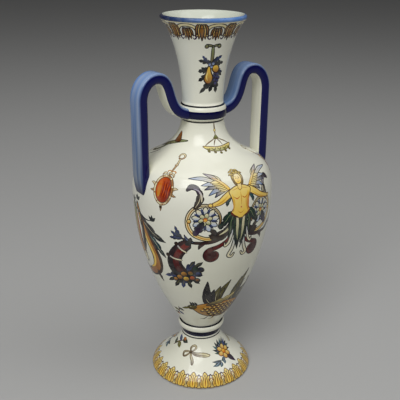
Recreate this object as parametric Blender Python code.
"""Handled vase of tin-glazed earthenware, modelled as the one fired piece that it is.

A thrown body stands on a hollow domed foot with a beaded stem. A collar rings the root of
the trumpet neck. Two strap handles leave the collar, rise in an S, turn over and run straight
down to the shoulder, where their tapered ends are pressed on. The vase is hollow and empty,
open at the mouth, and the foot is hollow from below.

The origin is the centre of the standing ring, +Z is up, the handles lie along X and the front
faces -Y. All sizes are in metres.
"""
import math

import bmesh
import bpy
from mathutils import Vector

# Walls and the edges that close them
WALL = 0.0048
FOOT_WALL = 0.0055
FLOOR_THICKNESS = 0.0200
STANDING_RING_WIDTH = 0.0065
EDGE_ROUNDING = 0.0025

# Heights, stacked from the surface that the vase stands on
FOOT_HEIGHT = 0.0451
STEM_HEIGHT = 0.0061
BEAD_HEIGHT = 0.0090
LOWER_BODY_HEIGHT = 0.1618
SHOULDER_HEIGHT = 0.0397
THROAT_HEIGHT = 0.0353
COLLAR_HEIGHT = 0.0150
NECK_HEIGHT = 0.0844

# Radii of the outside, from the foot up
FOOT_RADIUS = 0.0569
FOOT_TOP_RADIUS = 0.0220
STEM_RADIUS = 0.0210
BEAD_RADIUS = 0.0262
BODY_BASE_RADIUS = 0.0233
BELLY_RADIUS = 0.0747
SHOULDER_RADIUS = 0.0472
THROAT_RADIUS = 0.0219
COLLAR_RADIUS = 0.0247
NECK_RADIUS = 0.0213
MOUTH_RADIUS = 0.0427

# Lean of the outline from the vertical, in degrees: positive leans outwards going up
FOOT_EDGE_LEAN = -11.0
FOOT_TOP_LEAN = -13.0
BODY_BASE_LEAN = 28.0
SHOULDER_LEAN = -59.0
THROAT_LEAN = -6.0
MOUTH_LEAN = 42.0

# Strap handles
STRAP_WIDTH = 0.0208
STRAP_THICKNESS = 0.0110
STRAP_SQUARENESS = 3.2
STRAP_END_SCALE = 0.50
STRAP_END_LENGTH = 0.0240
STRAP_STANDS_PROUD = 0.0004
ROOT_DROP = 0.0010
CREST_RISE = 0.0395
CREST_REACH = 0.0165
CREST_DROP = 0.0220
LEG_LEAN = 0.0010
LANDING_RISE = 0.0050

# How finely the round forms are cut: the outside has twice the steps of the inside
TURN_SEGMENTS = 48
OUTSIDE = 2
INSIDE = 1
MOULDING_STEPS = 6
LIP_STEPS = 4
DOME_STEPS = 3
STRAP_SIDES = 12
MERGE_DISTANCE = 0.00001

# A quarter turn drawn as one cubic curve
QUARTER_PULL = 0.5523

GLAZE_COLOUR = (0.80, 0.79, 0.72, 1.0)
GLAZE_ROUGHNESS = 0.14


def stack(*heights):
    """Return the running total of the heights, starting at zero."""
    levels = [0.0]
    for height in heights:
        levels.append(levels[-1] + height)
    return levels


LEVELS = stack(FOOT_HEIGHT, STEM_HEIGHT, BEAD_HEIGHT, LOWER_BODY_HEIGHT, SHOULDER_HEIGHT,
               THROAT_HEIGHT, COLLAR_HEIGHT, NECK_HEIGHT)
(_, FOOT_TOP, BEAD_FOOT, BODY_BASE, BELLY, SHOULDER, COLLAR_FOOT, NECK_ROOT, MOUTH) = LEVELS


def cubic(start, pull_start, pull_end, end, steps):
    """Points along one cubic curve, both ends included."""
    points = []
    for step in range(steps + 1):
        t = step / steps
        s = 1.0 - t
        points.append(start * s**3 + pull_start * 3 * s * s * t + pull_end * 3 * s * t * t + end * t**3)
    return points


def leaning(degrees):
    """Unit direction in the outline's plane that leans this far outwards from straight up."""
    angle = math.radians(degrees)
    return Vector((math.sin(angle), math.cos(angle)))


def sweep(start, start_lean, end, end_lean, start_share, end_share, steps):
    """A curve of the outline between two points, each with its own lean and pull."""
    start = Vector(start)
    end = Vector(end)
    chord = (end - start).length
    pull_start = start + leaning(start_lean) * chord * start_share
    pull_end = end - leaning(end_lean) * chord * end_share
    return cubic(start, pull_start, pull_end, end, steps)


def moulding(lower, upper, outer_radius):
    """A half-round ring between two points of the outline, out to the given radius."""
    lower = Vector(lower)
    upper = Vector(upper)
    bulge = outer_radius - (lower.x + upper.x) / 2
    points = []
    for step in range(MOULDING_STEPS + 1):
        turn = math.pi * step / MOULDING_STEPS
        share = (1 - math.cos(turn)) / 2
        point = lower.lerp(upper, share)
        point.x += bulge * math.sin(turn)
        points.append(point)
    return points


def set_in(points, depth):
    """The same curve moved square to itself, towards the axis and away from the outside."""
    moved = []
    for index, point in enumerate(points):
        before = points[max(index - 1, 0)]
        after = points[min(index + 1, len(points) - 1)]
        along = (after - before).normalized()
        moved.append(point + Vector((-along.y, along.x)) * depth)
    return moved


def foot_curve(detail):
    """The outside of the foot, from its edge up to the stem."""
    return sweep((FOOT_RADIUS, EDGE_ROUNDING), FOOT_EDGE_LEAN, (FOOT_TOP_RADIUS, FOOT_TOP), FOOT_TOP_LEAN,
                 0.25, 0.41, 4 * detail)


def body_curve(detail):
    """The outside of the body, from its base over the belly and the shoulder to the collar."""
    lower = sweep((BODY_BASE_RADIUS, BODY_BASE), BODY_BASE_LEAN, (BELLY_RADIUS, BELLY), 0.0,
                  0.11, 0.52, 6 * detail)
    shoulder = sweep((BELLY_RADIUS, BELLY), 0.0, (SHOULDER_RADIUS, SHOULDER), SHOULDER_LEAN,
                     0.65, 0.23, 3 * detail)
    throat = sweep((SHOULDER_RADIUS, SHOULDER), SHOULDER_LEAN, (THROAT_RADIUS, COLLAR_FOOT), THROAT_LEAN,
                   0.54, 0.30, 3 * detail)
    return lower + shoulder[1:] + throat[1:]


def neck_curve(detail):
    """The outside of the neck, from the collar up to the mouth."""
    return sweep((NECK_RADIUS, NECK_ROOT), 0.0, (MOUTH_RADIUS, MOUTH), MOUTH_LEAN,
                 0.39, 0.22, 4 * detail)


def rounded_lip(outer, inner):
    """A half circle over the rim, from the outside of the wall to its inside, ends left out."""
    centre = (outer + inner) / 2
    across = outer - centre
    up = Vector((-across.y, across.x))
    points = []
    for step in range(1, LIP_STEPS):
        turn = math.pi * step / LIP_STEPS
        points.append(centre + across * math.cos(turn) + up * math.sin(turn))
    return points


def foot_recess():
    """The hollow under the foot, from the axis out and down to the inside of the standing ring."""
    ring_inside = FOOT_RADIUS - EDGE_ROUNDING - STANDING_RING_WIDTH
    roof = BODY_BASE - FLOOR_THICKNESS
    side = []
    for point in set_in(foot_curve(INSIDE), FOOT_WALL):
        if 0 < point.x < ring_inside and EDGE_ROUNDING < point.y < roof:
            side.append(point)
    side.reverse()
    centre = Vector((0.0, roof))
    pull = Vector((side[0].x * QUARTER_PULL, roof))
    dome = cubic(centre, pull, side[0].lerp(side[1], -0.5), side[0], DOME_STEPS)
    return dome[:-1] + side + [Vector((ring_inside, 0.0))]


def foot_edge():
    """The rounded corner between the standing ring and the outside of the foot."""
    bottom = Vector((FOOT_RADIUS - EDGE_ROUNDING, 0.0))
    top = Vector((FOOT_RADIUS, EDGE_ROUNDING))
    reach = EDGE_ROUNDING * QUARTER_PULL
    return cubic(bottom, bottom + Vector((reach, 0.0)), top - Vector((0.0, reach)), top, 3)


def cavity_curve(depth):
    """The inside of the vase at this depth below its outside: from the axis up to the mouth."""
    body = set_in(body_curve(INSIDE), depth)
    neck = set_in(neck_curve(INSIDE), depth)
    centre = Vector((0.0, BODY_BASE))
    pull = Vector((body[0].x * QUARTER_PULL, BODY_BASE))
    floor = cubic(centre, pull, body[0].lerp(body[1], -0.15), body[0], DOME_STEPS)
    return floor[:-1] + body + neck


def vase_outline():
    """The whole closed outline: under the foot, up the outside, over the lip, down the inside."""
    bead = moulding((STEM_RADIUS, BEAD_FOOT), (BODY_BASE_RADIUS, BODY_BASE), BEAD_RADIUS)
    collar = moulding((THROAT_RADIUS, COLLAR_FOOT), (NECK_RADIUS, NECK_ROOT), COLLAR_RADIUS)
    outside = foot_recess() + foot_edge() + foot_curve(OUTSIDE)[1:] + bead
    outside += body_curve(OUTSIDE)[1:] + collar[1:] + neck_curve(OUTSIDE)[1:]
    inside = cavity_curve(WALL)
    inside.reverse()
    return outside + rounded_lip(outside[-1], inside[0]) + inside


def turned(name, outline):
    """A closed body turned about Z from an outline that starts and ends on the axis."""
    mesh = bpy.data.meshes.new(name)
    shape = bmesh.new()
    verts = [shape.verts.new((point.x, 0.0, point.y)) for point in outline]
    edges = [shape.edges.new(pair) for pair in zip(verts, verts[1:])]
    bmesh.ops.spin(shape, geom=verts + edges, cent=(0, 0, 0), axis=(0, 0, 1),
                   angle=math.tau, steps=TURN_SEGMENTS, use_merge=True)
    bmesh.ops.remove_doubles(shape, verts=shape.verts, dist=MERGE_DISTANCE)
    bmesh.ops.recalc_face_normals(shape, faces=shape.faces)
    shape.to_mesh(mesh)
    shape.free()
    body = bpy.data.objects.new(name, mesh)
    bpy.context.collection.objects.link(body)
    return body


def body_radius_at(level):
    """The outer radius of the body at a level above the surface that the vase stands on."""
    curve = body_curve(OUTSIDE)
    for lower, upper in zip(curve, curve[1:]):
        if lower.y <= level <= upper.y:
            return lower.lerp(upper, (level - lower.y) / (upper.y - lower.y)).x
    return curve[-1].x


def strap_route():
    """The middle line of a handle: out of the collar, up in an S, over the crest, down the leg."""
    landing = BELLY + LANDING_RISE
    outer_face = body_radius_at(landing) + STRAP_STANDS_PROUD
    foot = Vector((outer_face - STRAP_THICKNESS * STRAP_END_SCALE / 2, landing))
    root = Vector((NECK_RADIUS - WALL, (COLLAR_FOOT + NECK_ROOT) / 2 - ROOT_DROP))
    crest = Vector((foot.x + LEG_LEAN - CREST_REACH, root.y + CREST_RISE))
    leg_top = Vector((foot.x + LEG_LEAN, crest.y - CREST_DROP))
    span = crest.x - root.x
    rise = cubic(root, root + Vector((span * 0.85, 0.0)), crest - Vector((span * 0.52, 0.0)), crest, 14)
    turn = cubic(crest, crest + Vector((CREST_REACH * QUARTER_PULL, 0.0)),
                 leg_top + Vector((0.0, CREST_DROP * QUARTER_PULL)), leg_top, 6)
    taper_top = leg_top.lerp(foot, (leg_top.y - landing - STRAP_END_LENGTH) / (leg_top.y - landing))
    taper = [taper_top.lerp(foot, step / 4) for step in range(5)]
    return rise + turn[1:] + taper


def strap_section(scale):
    """The strap's section, a rounded oblong: pairs of sideways and outward distances."""
    points = []
    power = 2 / STRAP_SQUARENESS
    for side in range(STRAP_SIDES):
        turn = math.tau * (side + 0.5) / STRAP_SIDES
        across = math.copysign(abs(math.cos(turn)) ** power, math.cos(turn)) * STRAP_WIDTH / 2
        outward = math.copysign(abs(math.sin(turn)) ** power, math.sin(turn)) * STRAP_THICKNESS / 2
        points.append((across, outward * scale))
    return points


def strap(name, side):
    """One strap handle on the +X side, or on the -X side where side is -1."""
    route = strap_route()
    landing = route[-1].y
    mesh = bpy.data.meshes.new(name)
    shape = bmesh.new()
    rings = []
    for index, point in enumerate(route):
        before = route[max(index - 1, 0)]
        after = route[min(index + 1, len(route) - 1)]
        along = (after - before).normalized()
        outward = Vector((-along.y, along.x))
        on_leg = index > 0 and after.y < before.y
        share = min((point.y - landing) / STRAP_END_LENGTH, 1.0) if on_leg else 1.0
        scale = STRAP_END_SCALE + (1 - STRAP_END_SCALE) * math.sin(share * math.pi / 2)
        ring = []
        for across, out in strap_section(scale):
            place = point + outward * out
            ring.append(shape.verts.new((place.x * side, across, place.y)))
        rings.append(ring)
    for ring, following in zip(rings, rings[1:]):
        for side_index in range(STRAP_SIDES):
            beside = (side_index + 1) % STRAP_SIDES
            shape.faces.new((ring[side_index], ring[beside], following[beside], following[side_index]))
    shape.faces.new(rings[0])
    shape.faces.new(list(reversed(rings[-1])))
    bmesh.ops.recalc_face_normals(shape, faces=shape.faces)
    shape.to_mesh(mesh)
    shape.free()
    body = bpy.data.objects.new(name, mesh)
    bpy.context.collection.objects.link(body)
    return body


def as_guide(body):
    """Mark a body that only shapes another one."""
    body.hide_render = True
    body.display_type = 'WIRE'
    return body


def add_boolean(body, other, operation):
    """Cut the other body out of this one, or join it on."""
    modifier = body.modifiers.new(f"{operation.title()} {other.name}", 'BOOLEAN')
    modifier.operation = operation
    modifier.object = other
    modifier.solver = 'EXACT'


def glaze_material():
    """The warm white tin glaze."""
    material = bpy.data.materials.new("white tin glaze")
    material.use_nodes = True
    shader = material.node_tree.nodes["Principled BSDF"]
    shader.inputs["Base Color"].default_value = GLAZE_COLOUR
    shader.inputs["Roughness"].default_value = GLAZE_ROUGHNESS
    shader.inputs["Metallic"].default_value = 0.0
    return material


def build():
    """Model the vase: the turned shell, with both straps trimmed to the wall and joined on."""
    for old in list(bpy.data.objects):
        bpy.data.objects.remove(old, do_unlink=True)
    vase = turned("vase", vase_outline())
    vase.data.materials.append(glaze_material())
    middle_of_wall = cavity_curve(WALL / 2)
    core = as_guide(turned("core", middle_of_wall + [Vector((0.0, middle_of_wall[-1].y))]))
    for name, side in (("strap_right", 1), ("strap_left", -1)):
        handle = as_guide(strap(name, side))
        add_boolean(handle, core, 'DIFFERENCE')
        add_boolean(vase, handle, 'UNION')
    vase.data.shade_smooth()
    vase.data.set_sharp_from_angle(angle=math.radians(40))


build()
